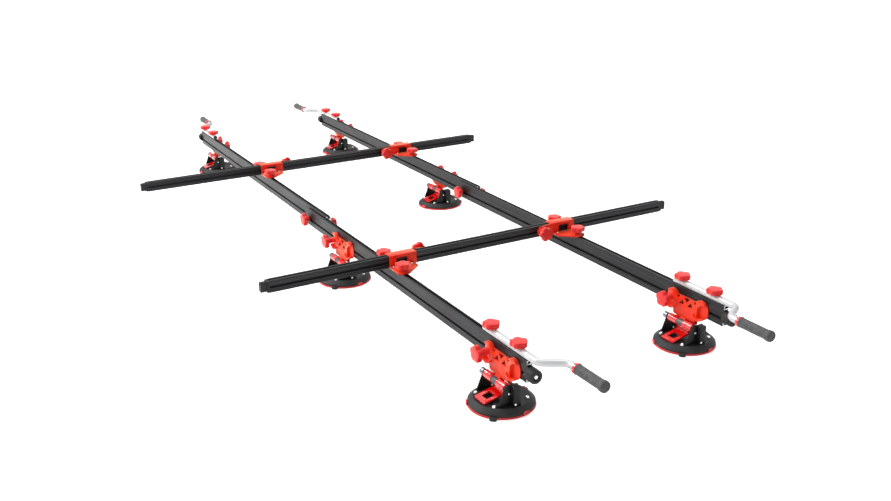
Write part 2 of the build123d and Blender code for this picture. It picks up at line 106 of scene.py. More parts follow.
# Arm
ARM_FACE = 4.5
ARM_T = 9
ARM_FRONT = ARM_FACE - ARM_T
LOBE_Y = 64
LOBE_R = 28.5
LOBE_DROP = 8
LIP_OUT = 11
LIP_T = 4
BOSS_R = 15
ARM_BACK_T = 2.5
ARM_WAIST = (50, 93)
ARM_HEEL = 46
SIDE_Z = 139.5
WEB_TOP = 156
WEB_BASE = 88
WEB_OUT = 15.5
WEB_LEAN = 10
WING_OUT = 6
WING_START = 38
WING_RUN = 16
NECK_TOP = 92
LUG_HALF = 12.5
LUG_WALL = 5
LUG_REACH = 11

# Knobs
KNOB_R = 26.5
KNOB_LOBES = 5
KNOB_DIP = 0.18
ARM_STEM = 31
HANDLE_STEM = 0.5
UPRIGHT_STEM = 11
CLAMP_STEM = 24
SPLICE_STEM = 12

# Handles and buffers
TUBE_R = 11
TUBE_BORE = 9
TUBE_BORE_LEN = 60
TUBE_INNER = 230
TUBE_BEND = -40
TUBE_JOG = 68
TUBE_JOG_RUN = 44
TUBE_BEND_R = 30
GRIP_START = 117
GRIP_LEN = 128
HANDLE_KNOBS = (198, 54)
BUFFER_R = 20.5
BUFFER_Z = 145
BUFFER_LEN = 34
BUFFER_SEAT = 30

# Saddles and crossbars
SADDLE_OUT = -22
SADDLE_IN = 80
SADDLE_HALF = 19.3
SADDLE_WALL = 5
SADDLE_SKIN = 2.7
SADDLE_LIFT = 1.2
SADDLE_FLANGE = 7.2
SADDLE_KNOB_Y = 74
SADDLE_CLAMP_X = 124
SADDLE_EDGE = 1.3
WALL_EDGE = 1.2
WALL_WINDOW = ((9, 9), (39, 27))
WALL_WINDOW_CORNER = 6
CHEEK_NOSE = [(124, 4), (137, 14), (137, 30), (128, 38)]
FLANGE = [(-24, 15), (70, 15), (70, 50), (14, 98), (-14, 98), (-24, 86)]
SADDLE_SCREWS_X = (-13, 56)
SADDLE_SCREWS_Y = (-27, 27)
BAR_MID = 20.75
BAR_TOP = 41
BAR_LEN = 1600


# Materials

def material(name, colour, roughness, metallic=0.0, specular=0.5, coat=0.0):
    """Principled material of plain values; the functions below let them drift and add grain."""
    mat = bpy.data.materials.new(name)
    mat.use_nodes = True
    shader = mat.node_tree.nodes["Principled BSDF"]
    shader.inputs["Base Color"].default_value = (*colour, 1)
    shader.inputs["Roughness"].default_value = roughness
    shader.inputs["Metallic"].default_value = metallic
    shader.inputs["Specular IOR Level"].default_value = specular
    shader.inputs["Coat Weight"].default_value = coat
    shader.inputs["Coat Roughness"].default_value = 0.06
    return mat


def node(mat, kind, **values):
    """New shader node with these inputs or settings."""
    made = mat.node_tree.nodes.new(kind)
    for key, value in values.items():
        if key in made.inputs:
            made.inputs[key].default_value = value
        else:
            setattr(made, key, value)
    return made


def link(mat, source, output, target, socket):
    """Join a node's output to another's input."""
    mat.node_tree.links.new(source.outputs[output], target.inputs[socket])


def vary_colour(mat, low, high, scale, stretch=(1, 1, 1)):
    """Base colour drifts between two shades, stretched along the way the piece was made."""
    place = node(mat, "ShaderNodeTexCoord")
    mapping = node(mat, "ShaderNodeMapping")
    mapping.inputs["Scale"].default_value = stretch
    noise = node(mat, "ShaderNodeTexNoise", Scale=scale, Detail=4.0, Roughness=0.6)
    ramp = node(mat, "ShaderNodeValToRGB")
    ramp.color_ramp.elements[0].position = 0.3
    ramp.color_ramp.elements[1].position = 0.7
    ramp.color_ramp.elements[0].color = (*low, 1)
    ramp.color_ramp.elements[1].color = (*high, 1)
    link(mat, place, "Object", mapping, "Vector")
    link(mat, mapping, "Vector", noise, "Vector")
    link(mat, noise, "Fac", ramp, "Fac")
    link(mat, ramp, "Color", mat.node_tree.nodes["Principled BSDF"], "Base Color")


def vary_roughness(mat, low, high, scale):
    """Roughness drifts between two values."""
    place = node(mat, "ShaderNodeTexCoord")
    noise = node(mat, "ShaderNodeTexNoise", Scale=scale, Detail=3.0)
    spread = node(mat, "ShaderNodeMapRange")
    spread.inputs["To Min"].default_value = low
    spread.inputs["To Max"].default_value = high
    link(mat, place, "Object", noise, "Vector")
    link(mat, noise, "Fac", spread, "Value")
    link(mat, spread, "Result", mat.node_tree.nodes["Principled BSDF"], "Roughness")


def grain(mat, scale, strength, depth=0.0004, stretch=(1, 1, 1)):
    """Fine surface relief."""
    place = node(mat, "ShaderNodeTexCoord")
    mapping = node(mat, "ShaderNodeMapping")
    mapping.inputs["Scale"].default_value = stretch
    noise = node(mat, "ShaderNodeTexNoise", Scale=scale, Detail=2.0)
    bump = node(mat, "ShaderNodeBump", Strength=strength, Distance=depth)
    link(mat, place, "Object", mapping, "Vector")
    link(mat, mapping, "Vector", noise, "Vector")
    link(mat, noise, "Fac", bump, "Height")
    link(mat, bump, "Normal", mat.node_tree.nodes["Principled BSDF"], "Normal")


def anodised(name, along):
    """Black anodised extrusion: faint die lines run along the profile."""
    mat = material(name, (0.03, 0.03, 0.032), 0.42, metallic=0.7, specular=0.3)
    stretch = [260, 260, 260]
    stretch[along] = 0.6
    vary_colour(mat, (0.011, 0.011, 0.012), (0.036, 0.036, 0.038), 1.0, stretch)
    vary_roughness(mat, 0.34, 0.5, 9.0)
    return mat


def red(name, low, high, roughness, specular=0.5, coat=0.0, strength=0.25, bloom=0.0, tint=(1.0, 0.8, 0.68)):
    """Red moulding; bloom is the pale look of its grained skin seen at a slant."""
    mat = material(name, high, roughness, specular=specular, coat=coat)
    shader = mat.node_tree.nodes["Principled BSDF"]
    shader.inputs["Sheen Weight"].default_value = bloom
    shader.inputs["Sheen Roughness"].default_value = 0.35
    shader.inputs["Sheen Tint"].default_value = (*tint, 1)
    vary_colour(mat, low, high, 14.0)
    grain(mat, 900.0, strength)
    return mat


RAIL_BLACK = anodised("anodised_rail", 1)
BAR_BLACK = anodised("anodised_bar", 0)
CUT_METAL = material("sawn_aluminium", (0.72, 0.73, 0.75), 0.35, metallic=0.9)
grain(CUT_METAL, 60.0, 0.4, stretch=(1, 1, 40))
RED_PLASTIC = red("red_moulded", (0.82, 0.02, 0.004), (0.9, 0.036, 0.008), 0.34, specular=0.2, bloom=1.0,
                  tint=(1.0, 0.86, 0.5))
RED_KNOB = red("red_knob", (0.8, 0.018, 0.018), (0.88, 0.03, 0.028), 0.38, specular=0.25, bloom=0.7)
RED_GLOSS = red("red_gloss", (0.7, 0.003, 0.002), (0.78, 0.006, 0.004), 0.14, coat=1.0, strength=0.05)
RED_RUBBER = red("red_rubber", (0.66, 0.03, 0.03), (0.74, 0.045, 0.045), 0.6)
BLACK_PLASTIC = material("black_moulded", (0.022, 0.022, 0.023), 0.55, specular=0.25)
vary_colour(BLACK_PLASTIC, (0.014, 0.014, 0.015), (0.026, 0.026, 0.027), 25.0)
grain(BLACK_PLASTIC, 1400.0, 0.35)
BLACK_PAINT = material("black_paint", (0.009, 0.009, 0.009), 0.36, specular=0.22)
vary_roughness(BLACK_PAINT, 0.32, 0.5, 60.0)
grain(BLACK_PAINT, 2200.0, 0.2)
BRIGHT_TUBE = material("bright_tube", (0.57, 0.58, 0.59), 0.28, metallic=0.3)
vary_roughness(BRIGHT_TUBE, 0.22, 0.36, 40.0)
GRIP_RUBBER = material("grip_rubber", (0.09, 0.09, 0.092), 0.75)
vary_colour(GRIP_RUBBER, (0.05, 0.05, 0.052), (0.1, 0.1, 0.102), 60.0)
grain(GRIP_RUBBER, 700.0, 0.9, depth=0.0008)
STEEL = material("turned_steel", (0.2, 0.205, 0.235), 0.3, metallic=0.95)
vary_roughness(STEEL, 0.2, 0.42, 120.0)
SLEEVE = material("grey_sleeve", (0.11, 0.105, 0.11), 0.4, metallic=0.6)
vary_roughness(SLEEVE, 0.3, 0.46, 150.0)
SCREW = material("bright_screw", (0.78, 0.78, 0.77), 0.25, metallic=0.95)
vary_roughness(SCREW, 0.18, 0.36, 300.0)


# Mesh helpers, all in millimetres

def arc(cx, cy, radius, start, end, steps):
    """Points on a circle from start to end, in degrees."""
    turns = [radians(start + (end - start) * i / steps) for i in range(steps + 1)]
    return [(cx + radius * cos(t), cy + radius * sin(t)) for t in turns]


def rounded(low, high, corner, steps):
    """Rectangle with rounded corners, whose centres run from low to high."""
    (x0, y0), (x1, y1) = low, high
    return [*arc(x1, y1, corner, 0, 90, steps), *arc(x0, y1, corner, 90, 180, steps),
            *arc(x0, y0, corner, 180, 270, steps), *arc(x1, y0, corner, 270, 360, steps)]


def lathe(profile, steps):
    """Closed solid turned about Z from (radius, height) points; a radius of zero closes an end."""
    bm = bmesh.new()
    rings = []
    for radius, z in profile:
        if radius == 0:
            rings.append([bm.verts.new((0, 0, z))])
            continue
        turns = [2 * pi * i / steps for i in range(steps)]
        rings.append([bm.verts.new((radius * cos(t), radius * sin(t), z)) for t in turns])
    pairs = list(zip(rings, rings[1:]))
    if len(rings[0]) > 1:
        pairs.append((rings[-1], rings[0]))
    for low, high in pairs:
        for i in range(steps):
            j = (i + 1) % steps
            ring = [low[i % len(low)], low[j % len(low)], high[j % len(high)], high[i % len(high)]]
            corners = list(dict.fromkeys(ring))
            if len(corners) > 2:
                bm.faces.new(corners)
    bmesh.ops.recalc_face_normals(bm, faces=bm.faces)
    return bm


def plate(outline, holes, thick, round_edge=0.0, cuts=()):
    """Flat plate on XY, with holes and softly rounded edges; cuts in X add lines to bend it at."""
    bm = bmesh.new()
    edges = []
    for loop in [outline, *holes]:
        verts = [bm.verts.new((x, y, 0)) for x, y in loop]
        edges += [bm.edges.new((verts[i - 1], verts[i])) for i in range(len(verts))]
    bmesh.ops.triangle_fill(bm, use_beauty=True, edges=edges)
    for step in cuts:
        geometry = bm.verts[:] + bm.edges[:] + bm.faces[:]
        bmesh.ops.bisect_plane(bm, geom=geometry, plane_co=(step, 0, 0), plane_no=(1, 0, 0))
    made = bmesh.ops.extrude_face_region(bm, geom=bm.faces[:])
    lifted = [item for item in made["geom"] if isinstance(item, bmesh.types.BMVert)]
    bmesh.ops.translate(bm, verts=lifted, vec=(0, 0, thick))
    bmesh.ops.recalc_face_normals(bm, faces=bm.faces)
    soften(bm, round_edge)
    return bm


def soften(bm, width, segments=2):
    """Round every sharp edge by a small width."""
    if width <= 0:
        return
    edges = [e for e in bm.edges if e.is_manifold and e.calc_face_angle(0) > SHARP]
    bmesh.ops.bevel(bm, geom=edges, offset=width, segments=segments, profile=0.5, affect="EDGES",
                    clamp_overlap=True)


def add(bm, other, matrix=None):
    """Take another mesh into this one."""
    if matrix is not None:
        other.transform(matrix)
    mesh = bpy.data.meshes.new("part")
    other.to_mesh(mesh)
    other.free()
    bm.from_mesh(mesh)
    bpy.data.meshes.remove(mesh)
    return bm


def as_mesh(name, bm, mat):
    """Finished mesh in metres, smooth but for its sharp edges."""
    bm.normal_update()
    for edge in bm.edges:
        edge.smooth = not edge.is_manifold or edge.calc_face_angle(0) < SHARP
    for face in bm.faces:
        face.smooth = True
    bm.transform(Matrix.Scale(MM, 4))
    mesh = bpy.data.meshes.new(name)
    bm.to_mesh(mesh)
    bm.free()
    mesh.materials.append(mat)
    return mesh


def piece(name, mesh, body, place, replaced=()):
    """Object for a mesh, set in place in the frame, riding on a body."""
    obj = bpy.data.objects.new(name, mesh)
    bpy.context.scene.collection.objects.link(obj)
    obj.matrix_world = place
    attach(obj, body)
    if replaced:
        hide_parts(*replaced)


def at(x, y, z):
    """Place in the frame, given in millimetres."""
    return Matrix.Translation((x * MM, y * MM, z * MM))


def turn(angle, axis):
    """Rotation by an angle in degrees."""
    return Matrix.Rotation(radians(angle), 4, axis)


def shift(x, y, z):
    """Move within a shape that is still in millimetres."""
    return Matrix.Translation((x, y, z))


def middle(name):
    """Centre of a node's box, in metres."""
    low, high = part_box(name)
    return [(a + b) / 2 for a, b in zip(low, high)]


# Knobs

def knob(stem):
    """Lobed knob on its seat at zero, axis up, on a stem of this length: upright sides, flat top."""
    steps = 80
    levels = ((0.55, 0.0), (0.93, 0.6), (0.98, 1.8), (1.0, 4.0), (1.0, 12.8), (0.985, 14.3), (0.95, 15.4),
              (0.88, 16.0), (0.4, 16.0))
    bm = bmesh.new()
    rings = []
    for share, height in levels:
        ring = []
        for i in range(steps):
            t = 2 * pi * i / steps
            wave = KNOB_DIP * share ** 3 * ((1 - cos(KNOB_LOBES * t)) / 2) ** 1.5
            radius = KNOB_R * share * (1 - wave)
            ring.append(bm.verts.new((radius * cos(t), radius * sin(t), stem + height)))
        rings.append(ring)
    for low, high in zip(rings, rings[1:]):
        for i in range(steps):
            bm.faces.new((low[i - 1], low[i], high[i], high[i - 1]))
    bm.faces.new(reversed(rings[0]))
    bm.faces.new(rings[-1])
    neck = [(0, 0), (11.5, 0), (12, 1), (10.5, min(4, stem / 2)), (10, stem), (12.5, stem + 1), (0, stem + 1)]
    return add(bm, lathe(neck, 40))


# Suction cups, drawn about the pad's centre with the lever towards -X

TANGENT_OUT = Matrix(((0, 0, 1, 0), (1, 0, 0, 0), (0, 1, 0, 0), (0, 0, 0, 1)))


def pad():
    """Red rubber pad: rounded lip, shallow suction hollow, three upturned release tabs."""
    profile = [(0, 4), (88, 4), (92, 0.6), (94, 0), (98.5, 0), (100, 1.2), (100, 3.2), (98.8, 5.4),
               (96.4, 6.4), (96.4, 9.8), (0, 9.8)]
    bm = lathe(profile, 144)
    inset = TAB_HALF - TAB_CORNER
    outline = [(-TAB_HALF, 0), (TAB_HALF, 0), *arc(inset, inset, TAB_CORNER, 0, 90, 6),
               *arc(-inset, inset, TAB_CORNER, 90, 180, 6)]
    for angle in PAD_TABS:
        add(bm, plate(outline, [], TAB_T, 1.0), turn(angle, "Z") @ shift(TAB_R, 0, TAB_Z) @ TANGENT_OUT)
    return bm


def disc():
    """Black backing disc: skirt over the pad's edge, broad bevel, low crest, flat floor, one pull lug."""
    profile = [(0, 10.2), (96.6, 10.2), (96.6, 6.8), (98, 6.8), (98.4, 7.4), (98.2, 11.8), (97.4, 12.8),
               (83.2, 24), (81.9, 24.8), (80.7, 24.7), (79.6, DISC_TOP), (0, DISC_TOP)]
    bm = lathe(profile, 144)
    side = PULL_HALF - PULL_CORNER
    outline = [(PULL_IN, -PULL_HALF), *arc(PULL_OUT, -side, PULL_CORNER, -90, 0, 8),
               *arc(PULL_OUT, side, PULL_CORNER, 0, 90, 8), (PULL_IN, PULL_HALF)]
    return add(bm, plate(outline, [], PULL_T, 2.5), turn(PULL_ANGLE, "Z") @ shift(0, 0, 0.2))


def ear_outline(shoulder):
    """Side plate of the bracket: slanting front, round eye, shoulder of this height at the back."""
    eye = arc(AXLE_X, AXLE_Z, EAR_EYE, 60 if shoulder > AXLE_Z else 20, 170, 14)
    bend = shoulder - EAR_CORNER
    corner = arc(EAR_BACK - EAR_CORNER, bend, EAR_CORNER, 10, 80, 5)
    return [(EAR_BACK, DISC_TOP), (EAR_BACK, bend), *corner, *eye, (EAR_FRONT, DISC_TOP + 4),
            (EAR_FRONT, DISC_TOP)]


def cup_bracket():
    """Folded sheet with an ear to each side of the lever and a boxed stiffener outside each ear."""
    hole = list(reversed(arc(AXLE_X, AXLE_Z, AXLE_R + 0.1, 0, 345, 23)))
    base = [(EAR_FRONT, -EAR_Y), (EAR_BACK, -EAR_Y), (EAR_BACK, EAR_Y), (EAR_FRONT, EAR_Y)]
    bm = plate(base, [], SHEET_T, SHEET_EDGE)
    bm.transform(shift(0, 0, DISC_TOP))
    half = EAR_T / 2
    ears = ((EAR_Y + EAR_T, EAR_T, LOW_TOP, [hole]), (-EAR_Y, half, BOX_TOP, [hole]),
            (-EAR_Y - half, half, BOX_TOP, []))
    for far, thick, shoulder, holes in ears:
        add(bm, plate(ear_outline(shoulder), holes, thick, SHEET_EDGE), shift(0, far, 0) @ turn(90, "X"))
    for far, top in ((BOX_OUT, LOW_TOP), (-EAR_Y - EAR_T, BOX_TOP)):
        bend = top - BOX_CORNER
        box = [(BOX_FRONT, DISC_TOP), (BOX_BACK, DISC_TOP),
               *arc(BOX_BACK - BOX_CORNER, bend, BOX_CORNER, 0, 90, 5),
               *arc(BOX_FRONT + BOX_CORNER, bend, BOX_CORNER, 90, 180, 5)]
        add(bm, plate(box, [], BOX_OUT - EAR_Y - EAR_T, 1.6), shift(0, far, 0) @ turn(90, "X"))
    return bm


def lever_line():
    """Underside of the lever seen from the side: straight paddle, rounded heel, riser up to the barrels."""
    heel = [Vector(p) for p in arc(HEEL_X, HEEL_Z, HEEL_R, -76, 0, 5)]
    return [Vector(PADDLE_TIP), *heel, Vector(RISER_TOP)]


def run_lengths(line):
    """How far along the line each of its points is."""
    lengths = [0.0]
    for a, b in zip(line, line[1:]):
        lengths.append(lengths[-1] + (b - a).length)
    return lengths


def bend_along(bm, line):
    """Lay a flat plate along a line: its X runs along the line, its thickness stands off to the left."""
    lengths = run_lengths(line)
    for vert in bm.verts:
        run, off = vert.co.x, vert.co.z
        i = max(k for k in range(len(line) - 1) if lengths[k] <= max(run, 0.0) + 1e-6)
        ahead = (line[i + 1] - line[i]).normalized()
        before = (line[i] - line[i - 1]).normalized() if i and run - lengths[i] < 1e-3 else ahead
        side = (ahead + before).normalized()
        spot = line[i] + ahead * (run - lengths[i]) + off * Vector((-side.y, side.x))
        vert.co.x, vert.co.z = spot.x, spot.y


def lever():
    """Glossy lever: paddle with a finger opening, a riser at its heel, two barrels on the axle."""
    line = lever_line()
    lengths = run_lengths(line)
    end = lengths[-1]
    notch = end - LEVER_NOTCH
    right = [(end, BARREL_IN), (end, LEVER_HALF),
             *arc(LEVER_CORNER, LEVER_HALF - LEVER_CORNER, LEVER_CORNER, 90, 180, 6)]
    left = [(x, -y) for x, y in reversed(right)]
    outline = right + left + [(notch, -BARREL_IN), (notch, BARREL_IN)]
    bm = plate(outline, [rounded(*LEVER_SLOT, 3, 4)], LEVER_T, 0, cuts=lengths[1:-1])
    bend_along(bm, line)
    bm.normal_update()
    soften(bm, 1.3, 3)
    long = BARREL_OUT - BARREL_IN
    for far in (BARREL_OUT, -BARREL_IN):
        barrel = lathe([(AXLE_R + 0.15, 0), (BARREL_R - 1.2, 0), (BARREL_R, 1.2), (BARREL_R, long - 1.2),
                        (BARREL_R - 1.2, long), (AXLE_R + 0.15, long)], 56)
        add(bm, barrel, shift(AXLE_X, far, AXLE_Z) @ turn(90, "X"))
    return bm


def axle():
    """Turned shaft with a chamfered end and a wider collar outside the far ear."""
    long = AXLE_REAR - AXLE_FRONT
    wide = AXLE_REAR - EAR_Y - EAR_T - 1.5
    bm = lathe([(0, 0), (COLLAR_R - 1.2, 0), (COLLAR_R, 1.2), (COLLAR_R, wide - 0.8), (COLLAR_R - 0.8, wide),
                (AXLE_R, wide), (AXLE_R, long - 1.2), (AXLE_R - 1.2, long), (0, long)], 48)
    bm.transform(shift(AXLE_X, AXLE_REAR, AXLE_Z) @ turn(90, "X"))
    return bm


def sleeve():
    """Grey spacer on the axle, between the barrels."""
    long = 2 * LUG_HALF
    bm = lathe([(AXLE_R, 0), (SLEEVE_R - 0.6, 0), (SLEEVE_R, 0.6), (SLEEVE_R, long - 0.6),
                (SLEEVE_R - 0.6, long), (AXLE_R, long)], 48)
    bm.transform(shift(AXLE_X, LUG_HALF, AXLE_Z) @ turn(90, "X"))
    return bm


# Arms, drawn with the rail at +X: along the rail, height, and out from the rail's face

OUT_FROM_RAIL = Matrix(((0, 0, -1, ARM_FACE), (1, 0, 0, 0), (0, 1, 0, 0), (0, 0, 0, 1)))


def arm_windows():
    """Truss openings: three point down, the two between them point up."""
    truss = ((-38, 7, 154, 144), (-19, 13, 128, 145), (0, 13, 154, 139), (19, 13, 128, 145),
             (38, 7, 154, 144))
    return [[(y - half, base), (y + half, base), (y, tip)] for y, half, base, tip in truss]


def both_sides(right):
    """Outline given for positive y from its top middle down to its foot, mirrored to close it."""
    return right + [(-y, z) for y, z in reversed(right) if y > 0]


def lobe_meet():
    """Angle at which the middle's top edge runs into a lobe."""
    rise = WEB_TOP - SIDE_Z
    return degrees(atan2(rise, -sqrt(LOBE_R ** 2 - rise ** 2)))


def arm_back(foot):
    """Thin back of the arm on the rail's face: floor of the pockets, down to the foot behind the barrels."""
    right = [(0, WEB_TOP), *arc(LOBE_Y, SIDE_Z, LOBE_R, lobe_meet(), 0, 28),
             *arc(LOBE_Y, SIDE_Z - LOBE_DROP, LOBE_R, 0, -90, 16), ARM_WAIST, (ARM_HEEL, foot)]
    return plate(both_sides(right), arm_windows(), ARM_BACK_T, 0.6)


def arm_body():
    """Thick front of the arm round the pockets, leaning out towards its foot, with a hood over each lobe."""
    pocket = [(70, 155), (60, 149), (55, 140), (54, 112), (50, 95)]
    hood = arc(LOBE_Y, SIDE_Z, LOBE_R, lobe_meet(), 42, 20)
    right = [(0, WEB_TOP), *hood, *pocket, (ARM_HEEL, WEB_BASE + 1)]
    bm = plate(both_sides(right), arm_windows(), WEB_OUT)
    for vert in bm.verts:
        if vert.co.z > 1:
            rise = min(1, max(0, (vert.co.y - WEB_BASE) / (WEB_TOP - WEB_BASE)))
            wing = min(1, max(0, (abs(vert.co.x) - WING_START) / WING_RUN))
            vert.co.z = WEB_OUT - WEB_LEAN * rise + WING_OUT * wing * rise
    bm.normal_update()
    soften(bm, 1.3)
    return bm


def arm(lug_x):
    """Whole arm, with a foot round the axle at lug_x; at positive x it reaches back under the rail."""
    bm = arm_back(WEB_BASE - 10 if lug_x < 0 else WEB_BASE + 1)
    add(bm, arm_body())
    ledge = [*arc(0, 0, LOBE_R, 210, 330, 20), *arc(0, 0, LOBE_R - LIP_T, 330, 210, 20)]
    for side in (-1, 1):
        add(bm, plate(ledge, [], ARM_T + LIP_OUT, 0.9), shift(side * LOBE_Y, SIDE_Z - LOBE_DROP, 0))
    boss = lathe([(0, 0), (BOSS_R, 0), (BOSS_R, ARM_T - 1), (BOSS_R - 1, ARM_T), (0, ARM_T)], 40)
    add(bm, boss, shift(LOBE_Y, SIDE_Z, 0))
    bm.transform(OUT_FROM_RAIL)
    near, far = (lug_x - LUG_WALL, ARM_FACE) if lug_x < 0 else (ARM_FRONT - LUG_REACH, lug_x)
    foot = [(near, AXLE_Z), (far, AXLE_Z), (far, NECK_TOP), (near + 12, NECK_TOP), (near, NECK_TOP - 10)]
    return add(bm, plate(foot, [], 2 * LUG_HALF, 1.5), shift(0, LUG_HALF, 0) @ turn(90, "X"))


def cap_screw(radius, height):
    """Pan-head screw with a dimple in its head."""
    shares = ((0, 0), (1, 0), (1, 0.4), (0.8, 0.85), (0.45, 1), (0.3, 0.75), (0, 0.6))
    return lathe([(radius * across, height * up) for across, up in shares], 28)


def disc_nuts():
    """Bright nuts near the disc's rim."""
    bm = bmesh.new()
    for x in (-NUT_X, NUT_X):
        for y in (-NUT_Y, NUT_Y):
            add(bm, cap_screw(6, 6), shift(x, y, DISC_TOP))
    return bm


def bracket_rivets():
    """Rivet heads on the ears and boxes of a bracket."""
    bm = bmesh.new()
    for side in (-1, 1):
        outward = turn(-90 * side, "X")
        for x, y, z in ((-12.5, EAR_Y + EAR_T, 59.5), (-1.5, BOX_OUT, 30.5)):
            add(bm, cap_screw(3.6, 2), shift(x, side * y, z) @ outward)
        add(bm, cap_screw(3.6, 2), shift(2.5, side * EAR_Y, 31.5) @ turn(90 * side, "X"))
    return bm


cup_looks = {
    "pad": ("cup", as_mesh("pad", pad(), RED_RUBBER), "red_rubber"),
    "disc": ("cup", as_mesh("disc", disc(), BLACK_PLASTIC), "black_plastic"),
    "bracket": ("cup", as_mesh("bracket", cup_bracket(), BLACK_PAINT), "black_steel"),
    "lever": ("lever", as_mesh("lever", lever(), RED_GLOSS), "red_gloss"),
    "axle": ("arm", as_mesh("axle", axle(), STEEL), "steel"),
}
front_arm = as_mesh("front_arm", arm(AXLE_X), RED_PLASTIC)
rear_arm = as_mesh("rear_arm", arm(-AXLE_X), RED_PLASTIC)
nut_mesh = as_mesh("disc_nuts", disc_nuts(), SCREW)
rivet_mesh = as_mesh("bracket_rivets", bracket_rivets(), SCREW)
sleeve_mesh = as_mesh("sleeve", sleeve(), SLEEVE)
arm_knob_mesh = as_mesh("arm_knob", knob(ARM_STEM), RED_KNOB)

for cup in CUPS:
    is_rear = cup in REAR_CUPS
    x, y, _ = middle(f"{cup}_disc")
    place = Matrix.Translation((x, y, 0))
    hang = place @ turn(180, "Z") if is_rear else place
    for part, (body, mesh, slot) in cup_looks.items():
        spot = hang if part in ("pad", "disc") else place
        piece(f"{cup}_{part}_look", mesh, f"{cup}_{body}", spot, [f"{cup}_{part}"])
    piece(f"{cup}_nuts", nut_mesh, f"{cup}_cup", place)
    piece(f"{cup}_rivets", rivet_mesh, f"{cup}_cup", place)
    piece(f"{cup}_sleeve", sleeve_mesh, f"{cup}_arm", place)
    arm_mesh = rear_arm if is_rear else front_arm
    piece(f"{cup}_arm_look", arm_mesh, f"{cup}_arm", hang, [f"{cup}_arm"])
    lobes = (("a", LOBE_Y), ("b", -LOBE_Y)) if is_rear else (("a", LOBE_Y),)
    for tag, along in lobes:
        seat = hang @ at(ARM_FRONT, along, SIDE_Z) @ turn(-90, "Y")
        piece(f"{cup}_knob_{tag}", arm_knob_mesh, f"{cup}_arm", seat, [f"{cup}_arm_knob"])


# Rails and crossbars keep their solids; sawn ends are bright, end plugs are plastic

def dress_rail(name):
    """Black all over but for the sawn ends."""
    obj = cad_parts[name]
    obj.data.materials.clear()
    obj.data.materials.append(RAIL_BLACK)
    obj.data.materials.append(CUT_METAL)
    for poly in obj.data.polygons:
        poly.material_index = 1 if abs(poly.normal.y) > 0.95 else 0


def dress_bar(name):
    """Black profile with sawn ends; what stands beyond it is a plug."""
    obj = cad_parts[name]
    obj.data.materials.clear()
    for mat in (BAR_BLACK, CUT_METAL, BLACK_PLASTIC):
        obj.data.materials.append(mat)
    centre, half, slack = middle(name)[0], BAR_LEN * MM / 2, 0.0005
    for poly in obj.data.polygons:
        reach = abs(poly.center.x - centre)
        end_face = abs(poly.normal.x) > 0.95 and abs(reach - half) < slack
        poly.material_index = 2 if reach > half + slack else (1 if end_face else 0)


for end in ("front", "rear"):
    dress_bar(f"crossbar_{end}")
    for side in ("left", "right"):
        dress_rail(f"rail_{side}_{end}")


# Saddle brackets, drawn on the rail's top with +X to the middle of the frame and the clamp's cheek to +Y

def saddle():
    """Folded strap over the crossbar, a flange to the front and the back, a cheek for the clamp knob."""
    top = BAR_TOP + 0.3 + SADDLE_SKIN
    brim = top - 0.6
    wall = [(SADDLE_OUT, SADDLE_LIFT), (SADDLE_IN, SADDLE_LIFT), (SADDLE_IN, brim), (SADDLE_OUT, brim)]
    cheek = wall[:2] + CHEEK_NOSE + wall[2:]
    strap = [(SADDLE_OUT, -SADDLE_HALF), (SADDLE_IN, -SADDLE_HALF), (SADDLE_IN, SADDLE_HALF),
             (SADDLE_OUT, SADDLE_HALF)]
    bm = plate(strap, [], SADDLE_SKIN, SADDLE_EDGE)
    bm.transform(shift(0, 0, top - SADDLE_SKIN))
    window = rounded(*WALL_WINDOW, WALL_WINDOW_CORNER, 5)
    for outline, far in ((cheek, SADDLE_HALF), (wall, SADDLE_WALL - SADDLE_HALF)):
        add(bm, plate(outline, [window], SADDLE_WALL, WALL_EDGE), shift(0, far, 0) @ turn(90, "X"))
    for side in (1, -1):
        outline = [(x, side * y) for x, y in FLANGE]
        add(bm, plate(outline, [], SADDLE_FLANGE - SADDLE_LIFT, SADDLE_EDGE), shift(0, 0, SADDLE_LIFT))
    return bm


def saddle_screws():
    """Bright screw heads on both flanges, close to the walls."""
    bm = bmesh.new()
    for x in SADDLE_SCREWS_X:
        for y in SADDLE_SCREWS_Y:
            add(bm, cap_screw(3.8, 2.4), shift(x, y, SADDLE_FLANGE))
    return bm


saddle_mesh = as_mesh("saddle", saddle(), RED_PLASTIC)
saddle_screw_mesh = as_mesh("saddle_screws", saddle_screws(), SCREW)
upright_knob = as_mesh("upright_knob", knob(UPRIGHT_STEM), RED_KNOB)
clamp_knob = as_mesh("clamp_knob", knob(CLAMP_STEM), RED_KNOB)
for end in ("front", "rear"):
    body = f"crossbar_{end}"
    bar_y = middle(body)[1]
    for side, spin in (("left", 0), ("right", 180)):
        rail = f"rail_{side}_{end}"
        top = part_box(rail)[1][2]
        spot = Matrix.Translation((middle(rail)[0], bar_y, top)) @ turn(spin, "Z")
        piece(f"{end}_{side}_saddle", saddle_mesh, body, spot, [f"saddles_{end}"])
        piece(f"{end}_{side}_saddle_screws", saddle_screw_mesh, body, spot)
        for tag, y in (("a", SADDLE_KNOB_Y), ("b", -SADDLE_KNOB_Y)):
            piece(f"{end}_{side}_clamp_knob_{tag}", upright_knob, body,
                  spot @ at(0, y, SADDLE_FLANGE), [f"clamp_knobs_{end}"])
        sideways = spot @ at(SADDLE_CLAMP_X, SADDLE_HALF, BAR_MID) @ turn(-90, "X")
        piece(f"{end}_{side}_clamp_knob_c", clamp_knob, body, sideways, [f"clamp_knobs_{end}"])


# Handles

